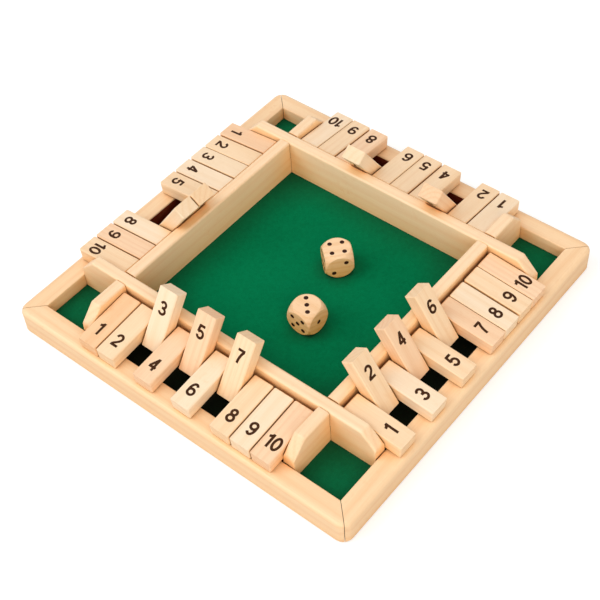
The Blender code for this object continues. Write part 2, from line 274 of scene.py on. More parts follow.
@dataclass
class SharedEffects:
    """Builds each shared effect once. Scales go along the grain, across it, and out of the face."""

    ring_stretch: Triple = (0.06, 1.0, 1.0)
    ring_drift: float = 12.0 * MM
    fibre_scales: Triple = (36.0, 1250.0, 1250.0)
    pore_scales: Triple = (190.0, 3300.0, 3300.0)
    tone_scales: Triple = (9.0, 45.0, 45.0)
    clean_rim: float = 0.8 * MM

    def build(self) -> None:
        """Build the groups, which materials then find by name."""
        self._timber_figure()
        self._edge_wear()
        self._handling_marks()
        self._sheltered_corners()
        self._tile_troughs()
        log.info("shared effects: %s", ", ".join(effect.value for effect in Effect))

    @staticmethod
    def _start(
        effect: Effect, inputs: dict[str, str], outputs: dict[str, str],
    ) -> tuple[Wiring, Any, Node]:
        """Start a group with named inputs and outputs.

        Args:
            effect: Which effect, which names it.
            inputs: Input names and socket types.
            outputs: Output names and socket types.

        Returns:
            The group's wiring, its input node's sockets and its output node.
        """
        tree = bpy.data.node_groups.new(effect.value, "ShaderNodeTree")
        for in_out, sockets in (("INPUT", inputs), ("OUTPUT", outputs)):
            for name, socket_type in sockets.items():
                tree.interface.new_socket(name=name, in_out=in_out, socket_type="NodeSocket" + socket_type)
        entry = tree.nodes.new("NodeGroupInput")
        leave = tree.nodes.new("NodeGroupOutput")
        return Wiring(tree), entry.outputs, leave

    def _timber_figure(self) -> None:
        """Build growth rings, fibres, pores and broad tone for a board whose grain runs along x."""
        inputs = {"Vector": "Vector", "Normal": "Vector", "Light": "Color", "Dark": "Color",
                  "Ring Width": "Float", "Figure": "Float", "Fibre": "Float"}
        outputs = {"Color": "Color", "Height": "Float", "End Grain": "Float"}
        wiring, entry, leave = self._start(Effect.TIMBER, inputs, outputs)
        board = entry["Vector"]
        stretched = wiring.vector("MULTIPLY", board, self.ring_stretch)
        cloud = wiring.node("TexNoise", {"Vector": stretched, "Scale": 28.0, "Detail": 2.0})
        drift = wiring.vector("SUBTRACT", cloud.outputs["Color"], (0.5, 0.5, 0.5))
        drift = wiring.vector("MULTIPLY", drift, (self.ring_drift, self.ring_drift, self.ring_drift))
        wave = wiring.node("TexWave", {
            "Vector": wiring.vector("ADD", stretched, drift),
            "Scale": wiring.math("DIVIDE", WAVE_SPACING, entry["Ring Width"]),
            "Distortion": 1.2, "Detail": 2.0, "Detail Scale": 1.5,
        }, wave_type="RINGS", rings_direction="X")
        rings = wiring.math("POWER", wave.outputs["Fac"], 2.2)
        fibre = wiring.streaks(board, self.fibre_scales, detail=3.0, roughness=0.6)
        pores = wiring.remap(wiring.streaks(board, self.pore_scales, detail=1.0), low=0.36, high=0.27)
        tone = wiring.streaks(board, self.tone_scales, detail=2.0)
        facing = wiring.node("SeparateXYZ", {"Vector": entry["Normal"]}).outputs["X"]
        end_grain = wiring.remap(wiring.math("ABSOLUTE", facing), low=0.55, high=0.9)
        dark_share = wiring.total(
            (rings, entry["Figure"]),
            (wiring.remap(fibre, low=0.35, high=0.7), entry["Fibre"]),
            (pores, wiring.times(entry["Fibre"], 0.8)),
            (wiring.remap(tone, low=0.35, high=0.7), wiring.times(entry["Figure"], 0.7)),
            (end_grain, 0.16),
            clamp=True,
        )
        wiring.feed(leave, {
            "Color": wiring.mix(dark_share, entry["Light"], entry["Dark"]),
            "Height": wiring.total((fibre, 0.7), (pores, -0.8), (rings, 0.35)),
            "End Grain": end_grain,
        })

    def _edge_wear(self) -> None:
        """Build a mask that is 1 on rubbed edges, broken up by noise; where it pales the colour it is
        partly real wear and partly a painted highlight.
        """
        inputs = {"Vector": "Vector", "Radius": "Float", "Amount": "Float"}
        wiring, entry, leave = self._start(Effect.EDGE_WEAR, inputs, {"Worn": "Float"})
        rounded = wiring.node("Bevel", {"Radius": entry["Radius"]}, samples=4).outputs["Normal"]
        true_normal = wiring.node("NewGeometry").outputs["Normal"]
        edge = wiring.remap(wiring.vector("DOT_PRODUCT", rounded, true_normal), low=0.995, high=0.9)
        broken = wiring.remap(wiring.noise(entry["Vector"], scale=420.0, detail=3.0), low=0.3, high=0.65)
        worn_and_highlit = wiring.math("MULTIPLY", wiring.times(edge, broken), entry["Amount"], clamp=True)
        wiring.feed(leave, {"Worn": worn_and_highlit})

    def _handling_marks(self) -> None:
        """Build faint smears that change the gloss, and a little soil that darkens."""
        inputs = {"Vector": "Vector", "Scale": "Float", "Amount": "Float"}
        outputs = {"Smear": "Float", "Soil": "Float"}
        wiring, entry, leave = self._start(Effect.HANDLING, inputs, outputs)
        cloudy = wiring.noise(entry["Vector"], entry["Scale"], detail=4.0)
        fine = wiring.noise(entry["Vector"], wiring.times(entry["Scale"], 9.0), detail=2.0)
        smear = wiring.times(wiring.remap(cloudy, low=0.35, high=0.7), entry["Amount"])
        soil = wiring.times(wiring.remap(fine, low=0.58, high=0.8), smear)
        wiring.feed(leave, {"Smear": smear, "Soil": soil})

    def _sheltered_corners(self) -> None:
        """Build a mask of the gaps and corners where little light reaches, from ambient occlusion, for
        painted shade.
        """
        inputs = {"Reach": "Float", "Open": "Float", "Closed": "Float"}
        wiring, entry, leave = self._start(Effect.SHELTER, inputs, {"Shelter": "Float"})
        openness = wiring.node("AmbientOcclusion", {"Distance": entry["Reach"]}, samples=8).outputs["AO"]
        wiring.feed(leave, {"Shelter": wiring.remap(openness, entry["Open"], entry["Closed"])})

    def _tile_troughs(self) -> None:
        """Build a mask of the troughs under the tiles, where shade is painted: from a wall's middle to a
        rail's, below its rim.
        """
        wall_low, wall_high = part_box("wall_right")
        rail_low, rail_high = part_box("rail_right")
        wall_middle = (wall_low.x + wall_high.x) / 2
        rail_middle = (rail_low.x + rail_high.x) / 2
        rim = rail_high.z - self.clean_rim
        sockets = {"Vector": "Vector"}
        wiring, entry, leave = self._start(Effect.TROUGHS, sockets, {"Trough": "Float"})
        split = wiring.node("SeparateXYZ", {"Vector": entry["Vector"]}).outputs
        across = [wiring.math("ABSOLUTE", split[axis]) for axis in "XY"]
        farther = wiring.math("MAXIMUM", *across)
        nearer = wiring.math("MINIMUM", *across)
        inside = wiring.math("GREATER_THAN", farther, wall_middle)
        for distance, limit in ((farther, rail_middle), (nearer, wall_middle), (split["Z"], rim)):
            inside = wiring.times(inside, wiring.math("LESS_THAN", distance, limit))
        wiring.feed(leave, {"Trough": inside})


def new_shader(name: str) -> tuple[Material, Wiring, Node]:
    """Start a material.

    Args:
        name: The material's name.

    Returns:
        The material, its wiring and its Principled BSDF.
    """
    material = bpy.data.materials.new(name)
    material.use_nodes = True
    return material, Wiring(material.node_tree), material.node_tree.nodes["Principled BSDF"]


# Where boards lie in their trees: along the grain, across it, and out of the face.
BOARD_PLACES = ((-1.0, 1.0), (0.02, 0.06), (0.025, 0.07))


@dataclass(frozen=True)
class Board:
    """How one piece was sawn: the directions of its grain, and which board it came from."""

    name: str
    along: Vector
    face: Vector
    seed: int

    def turn(self) -> Matrix:
        """The turn from the model's axes to along the grain, across it, and out of the face."""
        across = self.face.cross(self.along)
        return Matrix((self.along, across, self.face))

    def shift(self) -> Vector:
        """Where in the tree the board was: its distance from the middle sets how the rings curve."""
        place = random.Random(self.seed)
        return Vector([place.uniform(*reach) for reach in BOARD_PLACES])


# Tints of painted shade, multiplied in where little light reaches: warm where wood faces wood, darker in
# cracks, in the tile troughs and on the felt.
WARM_SHADE_TINT = srgb(252, 226, 176)
CRACK_SHADE_BROWN = srgb(140, 92, 56)
DICE_SHADE_GOLD = srgb(255, 222, 146)
TROUGH_SHADE_BROWN = srgb(128, 46, 22)
FELT_SHADE_BLACK = srgb(28, 24, 18)


@dataclass(frozen=True)
class Ageing:
    """Painted shade: a tint multiplied into wood where little light reaches, and the ambient occlusion
    limits that set where that is.
    """

    tint: Colour
    share: float
    reach: float
    open: float
    closed: float

    def over(self, wiring: Wiring, colour: NodeSocket, where: Any = 1.0) -> NodeSocket:
        """Multiply the painted shade's tint into a colour.

        Args:
            wiring: The material's nodes.
            colour: The wood's colour in the open.
            where: A mask of the places that can take the tint.

        Returns:
            The colour with the tint multiplied in.
        """
        occlusion_limits = {"Reach": self.reach, "Open": self.open, "Closed": self.closed}
        share = wiring.times(wiring.effect(Effect.SHELTER, occlusion_limits)["Shelter"], self.share)
        return wiring.mix(wiring.times(share, where), colour, self.tint, "MULTIPLY")


# Where each painted shade goes, by ambient occlusion within a reach.
IN_GAPS = Ageing(WARM_SHADE_TINT, share=0.8, reach=12.0 * MM, open=0.85, closed=0.35)
OVER_FELT = Ageing(WARM_SHADE_TINT, share=0.75, reach=24.0 * MM, open=0.93, closed=0.35)
ALONG_RAIL = Ageing(WARM_SHADE_TINT, share=0.55, reach=12.0 * MM, open=0.8, closed=0.35)
ROUND_DICE = Ageing(DICE_SHADE_GOLD, share=0.85, reach=24.0 * MM, open=0.97, closed=0.5)
IN_CRACKS = Ageing(CRACK_SHADE_BROWN, share=1.0, reach=4.0 * MM, open=0.35, closed=0.1)
IN_TROUGH = Ageing(TROUGH_SHADE_BROWN, share=1.0, reach=20.0 * MM, open=0.9, closed=0.6)


@dataclass(frozen=True)
class Handling:
    """How a finish shows that it was touched: how fine the marks are, and how strong."""

    scale: float
    amount: float

    def marks(self, wiring: Wiring, place: NodeSocket) -> Any:
        """The marks as outputs: Smear, which changes the gloss, and Soil, which darkens."""
        inputs = {"Vector": place, "Scale": self.scale, "Amount": self.amount}
        return wiring.effect(Effect.HANDLING, inputs)


@dataclass(frozen=True)
class Timber:
    """A sawn and waxed wood, with what its wear and its pores do to the wax, painted shade in its gaps and
    corners, and a painted highlight on its edges.
    """

    light: Colour
    dark: Colour
    ring_width: float
    figure: float = 0.22
    fibre: float = 0.2
    roughness: float = 0.46
    # Painted shade where little light reaches, and a darker painted shade in the tile troughs.
    ageing: Ageing = IN_GAPS
    in_trough: Ageing | None = None
    edge_radius: float = 0.7 * MM
    edge_wear: float = 0.35
    edge_paleness: float = 1.06
    handling: Handling = Handling(scale=38.0, amount=0.5)
    smear_dulls: float = 0.16
    end_grain_dulls: float = 0.14
    wear_polishes: float = 0.12
    specular: float = 0.35
    relief: float = 0.12
    relief_depth: float = 0.1 * MM

    def material(self, board: Board) -> Material:
        """Make the wood for one board.

        Args:
            board: The board's grain and its name.

        Returns:
            The material.
        """
        material, wiring, shader = new_shader("timber_" + board.name)
        source = wiring.node("TexCoord").outputs
        place = source["Object"]
        figure = self._figure(wiring, source, board)
        edges = {"Vector": place, "Radius": self.edge_radius, "Amount": self.edge_wear}
        worn_and_highlit = wiring.effect(Effect.EDGE_WEAR, edges)["Worn"]
        marks = self.handling.marks(wiring, place)
        # Paler edges: partly wear, partly a painted highlight on the rounded edge.
        rubbed = wiring.mix(worn_and_highlit, figure["Color"], self._rubbed_colour())
        soiled = wiring.mix(marks["Soil"], rubbed, self.dark)
        # Painted shade: tints multiplied in where little light reaches, darkest in cracks and in the tile
        # troughs.
        shaded = IN_CRACKS.over(wiring, self.ageing.over(wiring, soiled))
        if self.in_trough:
            trough = wiring.effect(Effect.TROUGHS, {"Vector": place})["Trough"]
            shaded = self.in_trough.over(wiring, shaded, trough)
        dulled = (
            (marks["Smear"], self.smear_dulls),
            (figure["End Grain"], self.end_grain_dulls),
            (worn_and_highlit, -self.wear_polishes),
        )
        wiring.feed(shader, {
            "Base Color": shaded,
            "Roughness": wiring.total(*dulled, start=self.roughness),
            "Normal": wiring.bump(figure["Height"], self.relief, self.relief_depth),
            "Specular IOR Level": self.specular,
        })
        return material

    def _figure(self, wiring: Wiring, source: Any, board: Board) -> Any:
        """Lay the board's grain through the piece.

        Args:
            wiring: The material's nodes.
            source: The outputs of its Texture Coordinate node.
            board: The board's grain.

        Returns:
            The outputs of the timber figure.
        """
        turn = board.turn().to_euler()
        laid = {"Vector": source["Object"], "Location": board.shift(), "Rotation": turn}
        grain = wiring.node("Mapping", laid)
        turned = {"Vector": source["Normal"], "Rotation": turn}
        normal = wiring.node("Mapping", turned, vector_type="VECTOR")
        return wiring.effect(Effect.TIMBER, {
            "Vector": grain.outputs["Vector"], "Normal": normal.outputs["Vector"],
            "Light": self.light, "Dark": self.dark, "Ring Width": self.ring_width,
            "Figure": self.figure, "Fibre": self.fibre,
        })

    def _rubbed_colour(self) -> Colour:
        """The paler colour on a rubbed edge: partly the wood under the wax, partly a painted highlight."""
        return tuple(min(1.0, value * self.edge_paleness) for value in self.light[:3]) + (1.0,)


@dataclass(frozen=True)
class FeltCloth:
    """Short green felt, glued flat, with painted shade near black in its dark corners. The painted shade's
    limits are first the tray's, then the tile troughs'.
    """

    colour: Colour = srgb(0, 126, 80)
    shade: Colour = srgb(0, 95, 57)
    handling: Handling = Handling(scale=30.0, amount=0.6)
    dust_share: float = 0.97
    dust_reach: float = 30.0 * MM
    dust_open: Pair = (0.87, 0.72)
    dust_closed: Pair = (-0.15, 0.36)
    relief: float = 0.45
    relief_depth: float = 0.25 * MM
    specular: float = 0.04

    def material(self) -> Material:
        """Make the felt: a fine nap, matted fibres, slow changes of tone, and painted shade in its dark
        corners and troughs.

        Returns:
            The material.
        """
        material, wiring, shader = new_shader("green_felt")
        place = wiring.node("TexCoord").outputs["Object"]
        nap = wiring.noise(place, scale=2600.0, detail=3.0, roughness=0.7)
        matted = wiring.noise(place, scale=520.0, detail=4.0, roughness=0.65)
        broad = wiring.noise(place, scale=22.0, detail=2.0)
        marks = self.handling.marks(wiring, place)
        shade = wiring.total(
            (wiring.remap(nap, low=0.35, high=0.7), 0.42),
            (wiring.remap(matted, low=0.35, high=0.7), 0.3),
            (wiring.remap(broad, low=0.3, high=0.7), 0.2),
            (marks["Soil"], 0.25),
            clamp=True,
        )
        cloth = wiring.mix(shade, self.colour, self.shade)
        wiring.feed(shader, {
            # Painted shade: near black where little light reaches, strongest under the rows of tiles.
            "Base Color": wiring.mix(self._dust(wiring, place), cloth, FELT_SHADE_BLACK),
            "Roughness": wiring.remap(matted, low=0.3, high=0.7, onto=(0.88, 1.0)),
            "Normal": wiring.bump(wiring.total((nap, 0.6), (matted, 0.9)), self.relief, self.relief_depth),
            "Specular IOR Level": self.specular,
        })
        return material

    def _dust(self, wiring: Wiring, place: NodeSocket) -> NodeSocket:
        """Mask the dark corners and tile troughs where shade is painted, with other limits under the rows
        of tiles than in the open.

        Args:
            wiring: The material's nodes.
            place: Where a point of the surface is.

        Returns:
            The painted shade's share.
        """
        trough = wiring.effect(Effect.TROUGHS, {"Vector": place})["Trough"]
        corners = wiring.effect(Effect.SHELTER, {
            "Reach": self.dust_reach,
            "Open": wiring.remap(trough, onto=self.dust_open),
            "Closed": wiring.remap(trough, onto=self.dust_closed),
        })
        return wiring.times(corners["Shelter"], self.dust_share)


@dataclass(frozen=True)
class DrawnSteel:
    """Bright steel wire with fine lines from drawing, close together across it and long along it."""

    colour: Colour = srgb(205, 203, 198)
    dull: Colour = srgb(150, 146, 140)
    roughness: float = 0.28
    lines_across: float = 3000.0
    lines_along: float = 100.0
    handling: Handling = Handling(scale=120.0, amount=0.8)
    relief: float = 0.15
    relief_depth: float = 0.05 * MM

    def material(self, name: str, along: Vector) -> Material:
        """Make the steel for a rod.

        Args:
            name: The rod's name.
            along: The rod's direction.

        Returns:
            The material.
        """
        material, wiring, shader = new_shader("steel_" + name)
        place = wiring.node("TexCoord").outputs["Object"]
        drawn_out = self.lines_along - self.lines_across
        scales = [self.lines_across + drawn_out * abs(part) for part in along]
        lines = wiring.streaks(place, scales, detail=2.0)
        marks = self.handling.marks(wiring, place)
        dull = wiring.math("ADD", wiring.times(lines, 0.35), marks["Soil"], clamp=True)
        wiring.feed(shader, {
            "Base Color": wiring.mix(dull, self.colour, self.dull),
            "Roughness": wiring.total((lines, 0.2), start=self.roughness),
            "Normal": wiring.bump(lines, self.relief, self.relief_depth),
            "Metallic": 1.0,
        })
        return material


@dataclass(frozen=True)
class PrintedInk:
    """Dark brown ink that sinks a little into the wood."""

    name: str
    colour: Colour
    thin: Colour
    roughness: float = 0.55
    smear_dulls: float = 0.2
    handling: Handling = Handling(scale=90.0, amount=0.5)
    relief: float = 0.1
    relief_depth: float = 0.05 * MM
    specular: float = 0.12

    def material(self) -> Material:
        """Make the ink, thinner where the grain took less of it.

        Returns:
            The material.
        """
        material, wiring, shader = new_shader(self.name)
        place = wiring.node("TexCoord").outputs["Object"]
        speckle = wiring.noise(place, scale=2400.0, detail=3.0, roughness=0.65)
        speckle = wiring.remap(speckle, low=0.5, high=0.72)
        broad = wiring.remap(wiring.noise(place, scale=260.0, detail=2.0), low=0.35, high=0.7)
        marks = self.handling.marks(wiring, place)
        thin = wiring.total((speckle, 0.45), (broad, 0.25), clamp=True)
        wiring.feed(shader, {
            "Base Color": wiring.mix(thin, self.colour, self.thin),
            "Roughness": wiring.total((marks["Smear"], self.smear_dulls), start=self.roughness),
            "Normal": wiring.bump(speckle, self.relief, self.relief_depth),
            "Specular IOR Level": self.specular,
        })
        return material


RAIL_WOOD = Timber(
    srgb(253, 219, 178), srgb(238, 185, 131), ring_width=4.5 * MM, figure=0.26, roughness=0.42,
    ageing=ALONG_RAIL, in_trough=IN_TROUGH,
)
WALL_WOOD = Timber(
    srgb(254, 224, 187), srgb(243, 194, 145), ring_width=3.5 * MM, figure=0.24, roughness=0.44,
    ageing=OVER_FELT, in_trough=IN_TROUGH,
)
DIE_WOOD = Timber(
    srgb(255, 218, 178), srgb(234, 180, 120), ring_width=3.0 * MM, figure=0.3, roughness=0.32,
    ageing=ROUND_DICE,
)
PLYWOOD = Timber(
    srgb(226, 190, 146), srgb(186, 140, 94), ring_width=9.0 * MM, figure=0.55, fibre=0.4, roughness=0.62,
)
NUMBER_INK = PrintedInk("number_ink", srgb(56, 30, 12), srgb(92, 54, 26))
PIP_PAINT = PrintedInk("pip_paint", srgb(46, 20, 12), srgb(74, 38, 22), roughness=0.4)


class TileWood(Enum):
    """The tones of the wood that the tiles were sawn from."""

    PLAIN = Timber(srgb(252, 222, 186), srgb(236, 190, 138), ring_width=3.2 * MM)
    PINK = Timber(srgb(251, 216, 181), srgb(235, 180, 132), ring_width=2.6 * MM)
    PALE = Timber(srgb(253, 229, 200), srgb(238, 200, 152), ring_width=4.0 * MM, figure=0.2, fibre=0.18)
    DEEP = Timber(srgb(249, 207, 164), srgb(231, 171, 117), ring_width=3.0 * MM)


def dress(node: Object, material: Material) -> None:
    """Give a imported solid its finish.

    Args:
        node: The solid.
        material: Its finish.
    """
    if not node.material_slots:
        node.data.materials.append(material)
    for slot in node.material_slots:
        slot.material = material


def merged_mesh(name: str, bm: bmesh.types.BMesh, join_within: float = 0.001 * MM) -> Mesh:
    """Turn a bmesh into a mesh, with its doubled corners joined and its faces turned out.

    Args:
        name: The mesh's name.
        bm: The bmesh, which is used up.
        join_within: How near to each other corners are joined.

    Returns:
        The mesh.
    """
    bmesh.ops.remove_doubles(bm, verts=bm.verts, dist=join_within)
    bmesh.ops.recalc_face_normals(bm, faces=bm.faces)
    mesh = bpy.data.meshes.new(name)
    bm.to_mesh(mesh)
    bm.free()
    return mesh


def add_piece(name: str, mesh: Mesh, material: Material, body: str) -> None:
    """Put a new piece in the scene, riding on a body.

    Args:
        name: The piece's name.
        mesh: Its mesh, in the frame's own coordinates.
        material: Its finish.
        body: The body that it moves with.
    """
    piece = bpy.data.objects.new(name, mesh)
    bpy.context.scene.collection.objects.link(piece)
    mesh.materials.append(material)
    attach(piece, body)


@dataclass
class BoxFrame:
    """The mitred frame, the plywood floor and the felt on it."""

    nodes: dict[str, Object]
    first_seed: int = 11

    def build(self) -> None:
        """Dress the rails, each from its own board, and the floor."""
        for number, side in enumerate(Side):
            name = "rail_" + side.value
            board = Board(name, side.along(), UP, self.first_seed + number)
            dress(self.nodes[name], RAIL_WOOD.material(board))
            log.info("%s: waxed wood, mitred", name)
        floor = Board("base", Vector((1, 0, 0)), UP, self.first_seed + len(Side))
        dress(self.nodes["base"], PLYWOOD.material(floor))
        dress(self.nodes["felt"], FeltCloth().material())
        log.info("base and felt: plywood and green felt")


@dataclass
class TrayWalls:
    """The four half-lapped walls round the dice tray."""

    nodes: dict[str, Object]
    first_seed: int = 23

    def build(self) -> None:
        """Dress each wall with the grain along it and its wide face out."""
        for number, side in enumerate(Side):
            name = "wall_" + side.value
            board = Board(name, side.along(), side.outward(), self.first_seed + number)
            dress(self.nodes[name], WALL_WOOD.material(board))
            log.info("%s: waxed wood, half-lapped", name)


@dataclass(frozen=True)
class TileFrame:
    """Where a tile is: its rod, the way to its free end, and the way out of its upper face."""

    rod: Vector
    along: Vector
    upper: Vector

    @classmethod
    def of_tile(cls, node: Object, joint: dict[str, Any]) -> TileFrame:
        """Read a tile's frame off its solid and its hinge.

        Args:
            node: The tile's solid.
            joint: The tile's hinge.

        Returns:
            The frame.
        """
        rod = Vector(joint["pos_m"])
        hinge = Vector(joint["axis"])
        area: dict[tuple[float, ...], float] = defaultdict(float)
        for polygon in node.data.polygons:
            area[tuple(round(part, 3) for part in polygon.normal)] += polygon.area
        along = hinge.cross(Vector(max(area, key=area.get))).normalized()
        low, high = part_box(node.name)
        if along.dot((low + high) / 2 - rod) < 0:
            along.negate()
        return cls(rod, along, hinge.cross(along))


class TileFace(Enum):
    """The two wide faces of a tile, by which one is up while the tile lies out."""

    UPPER = 1
    LOWER = -1


ARC_STEP = 12.0
LEAST_ARC_STEPS = 6
SHARPEST_MITRE = 0.4


@dataclass(frozen=True)
class Stroke:
    """One pen stroke of a figure, in parts of the figure's height: an arc or a bent line."""

    points: tuple[Pair, ...] = ()
    centre: Pair = (0.0, 0.0)
    radii: Pair = (0.0, 0.0)
    start: float = 0.0
    turn: float = 360.0

    def path(self) -> list[Vector]:
        """Draw the middle line of the stroke.

        Returns:
            Its own points, or points along its arc.
        """
        if self.points:
            return [Vector(point) for point in self.points]
        steps = max(LEAST_ARC_STEPS, round(abs(self.turn) / ARC_STEP))
        angles = [math.radians(self.start + self.turn * k / steps) for k in range(steps + 1)]
        (x, y), (wide, tall) = self.centre, self.radii
        return [Vector((x + wide * math.cos(angle), y + tall * math.sin(angle))) for angle in angles]

    def bands(self, width: float) -> list[list[Vector]]:
        """The stroke at its full width, as one four-cornered band for each step of its path.

        Args:
            width: The pen's width.

        Returns:
            The bands' corners, all turning the same way.
        """
        path = self.path()
        last = len(path) - 1
        closed = not self.points and abs(self.turn) >= 360.0
        edges = []
        for k, point in enumerate(path):
            before = path[-2] if closed and k == 0 else path[max(k - 1, 0)]
            after = path[1] if closed and k == last else path[min(k + 1, last)]
            arriving = point - before
            leaving = after - point
            if not arriving.length:
                arriving = leaving
            if not leaving.length:
                leaving = arriving
            side = (arriving.normalized() + leaving.normalized()).normalized().orthogonal()
            mitre = max(SHARPEST_MITRE, side.dot(leaving.normalized().orthogonal()))
            half_pen = side * width / 2 / mitre
            edges.append((point + half_pen, point - half_pen))
        return [self._anticlockwise([a[0], a[1], b[1], b[0]]) for a, b in zip(edges, edges[1:])]

    @staticmethod
    def _anticlockwise(band: list[Vector]) -> list[Vector]:
        """The band's corners in anticlockwise order."""
        area = sum(a.x * b.y - b.x * a.y for a, b in zip(band, band[1:] + band[:1]))
        return band if area > 0 else band[::-1]


# Each figure stands on y = 0, is 1 high, and has its middle at x = 0.
SIX = (
    Stroke(centre=(0.0, 0.305), radii=(0.235, 0.228)),
    Stroke(centre=(0.012, 0.5), radii=(0.247, 0.42), start=42.0, turn=160.0),
)

FIGURES: dict[str, tuple[Stroke, ...]] = {
    "0": (Stroke(centre=(0.0, 0.5), radii=(0.225, 0.425)),),
    "1": (
        Stroke(points=((0.07, 0.0), (0.07, 1.0))),
        Stroke(centre=(-0.21, 1.04), radii=(0.29, 0.27), start=-90.0, turn=75.0),
    ),
    "2": (
        Stroke(centre=(0.0, 0.69), radii=(0.222, 0.235), start=176.0, turn=-206.0),
        Stroke(points=((0.205, 0.59), (0.15, 0.48), (0.0, 0.33), (-0.15, 0.19), (-0.225, 0.075))),
        Stroke(points=((-0.29, 0.075), (0.295, 0.075))),
    ),
    "3": (
        Stroke(centre=(-0.015, 0.72), radii=(0.205, 0.205), start=165.0, turn=-255.0),
        Stroke(centre=(-0.015, 0.29), radii=(0.24, 0.215), start=95.0, turn=-262.0),
        Stroke(points=((-0.1, 0.515), (0.0, 0.515))),
    ),
    "4": (
        Stroke(points=((0.1, 0.0), (0.1, 1.0))),
        Stroke(points=((-0.295, 0.285), (0.27, 0.285))),
        Stroke(points=((0.085, 0.95), (-0.235, 0.3))),
    ),
    "5": (
        Stroke(points=((-0.2, 0.925), (0.24, 0.925))),
        Stroke(points=((-0.145, 0.98), (-0.21, 0.47))),
        Stroke(centre=(0.0, 0.325), radii=(0.235, 0.25), start=150.0, turn=-318.0),
    ),
    "6": SIX,
    "7": (
        Stroke(points=((-0.27, 0.925), (0.28, 0.925))),
        Stroke(points=((0.215, 0.9), (0.09, 0.7), (-0.01, 0.45), (-0.07, 0.2), (-0.085, 0.0))),
    ),
    "8": (
        Stroke(centre=(0.0, 0.735), radii=(0.19, 0.19)),
        Stroke(centre=(0.0, 0.3), radii=(0.235, 0.225)),
    ),
    "9": SIX,
}


# What Blender's triangulation gives back, and how near to each other it joins points.
FILL_TO_HULL = 0
POINT_TOLERANCE = 1e-7


@dataclass(frozen=True)
class NumberPrinter:
    """Draws the tiles' numbers and prints them. Pen and spacing are parts of a figure's height."""

    height: float = 7.9 * MM
    pen: float = 0.182
    spacing: float = 0.56
    thickness: float = 0.04 * MM
    tile_half_thickness: float = 4.0 * MM

    def _flat_number(self, text: str) -> tuple[list[Vector], list[list[int]]]:
        """Draw a number about its middle and join its strokes into one flat shape.

        Args:
            text: The number's figures.

        Returns:
            The shape's corners and its triangles.
        """
        corners: list[Vector] = []
        bands: list[list[int]] = []
        for place, figure in enumerate(text):
            shift = Vector(((place - (len(text) - 1) / 2) * self.spacing, -0.5))
            for stroke in FIGURES[figure]:
                for band in stroke.bands(self.pen):
                    # A nine is a six turned half round.
                    if figure == "9":
                        band = [Vector((0.0, 1.0)) - corner for corner in band]
                    bands.append(list(range(len(corners), len(corners) + len(band))))
                    corners.extend((corner + shift) * self.height for corner in band)
        points, _, faces, _, _, sources = delaunay_2d_cdt(corners, [], bands, FILL_TO_HULL, POINT_TOLERANCE)
        return points, [face for face, source in zip(faces, sources) if source]

    def _placing(self, frame: TileFrame, face: TileFace, reach: float) -> Matrix:
        """Find the place of a number on a tile's face, upright as read from outside its row.

        Args:
            frame: The tile's frame.
            face: Which face.
            reach: How far the number's middle lies from the rod.

        Returns:
            A matrix whose x runs along the line of type and whose z comes out of the face.
        """
        outward = frame.upper * face.value
        up = -frame.along * face.value
        right = up.cross(outward)
        origin = frame.rod + frame.along * reach + outward * self.tile_half_thickness
        return Matrix.Translation(origin) @ Matrix((right, up, outward)).transposed().to_4x4()

    def number_mesh(self, name: str, number: int, frame: TileFrame, reach: float) -> Mesh:
        """Print a tile's number on both of its faces.

        Args:
            name: The mesh's name.
            number: The tile's number.
            frame: The tile's frame.
            reach: How far the number's middle lies from the rod.

        Returns:
            One mesh with both prints, as thin layers of ink.
        """
        points, faces = self._flat_number(str(number))
        bm = bmesh.new()
        for face in TileFace:
            placing = self._placing(frame, face, reach)
            corners = [bm.verts.new(placing @ point.to_3d()) for point in points]
            for triangle in faces:
                bm.faces.new([corners[k] for k in triangle])
        bmesh.ops.delete(bm, geom=[vert for vert in bm.verts if not vert.link_faces], context="VERTS")
        bm.normal_update()
        ink = bmesh.ops.extrude_face_region(bm, geom=list(bm.faces))
        lifted = [item for item in ink["geom"] if isinstance(item, bmesh.types.BMVert)]
        for vert in lifted:
            away = math.copysign(1.0, (vert.co - frame.rod).dot(frame.upper))
            vert.co += frame.upper * away * self.thickness
        return merged_mesh(name, bm)


# Tiles whose tone the photograph shows plainly. The others are drawn from the common woods.
MATCHED_TILES = {
    "front_01": TileWood.DEEP, "front_03": TileWood.PALE, "front_05": TileWood.PINK,
    "front_09": TileWood.PALE, "front_10": TileWood.PINK, "right_01": TileWood.PLAIN,
    "right_02": TileWood.PLAIN, "right_03": TileWood.PALE, "right_04": TileWood.PINK,
    "right_06": TileWood.PLAIN,
}
COMMON_WOODS = (TileWood.PLAIN, TileWood.PLAIN, TileWood.PINK, TileWood.PALE)

# How far the middle of a number lies from its tile's rod.
NUMBER_REACH = {
    Side.FRONT: 16.4 * MM, Side.RIGHT: 16.4 * MM, Side.BACK: 18.4 * MM, Side.LEFT: 18.4 * MM,
}


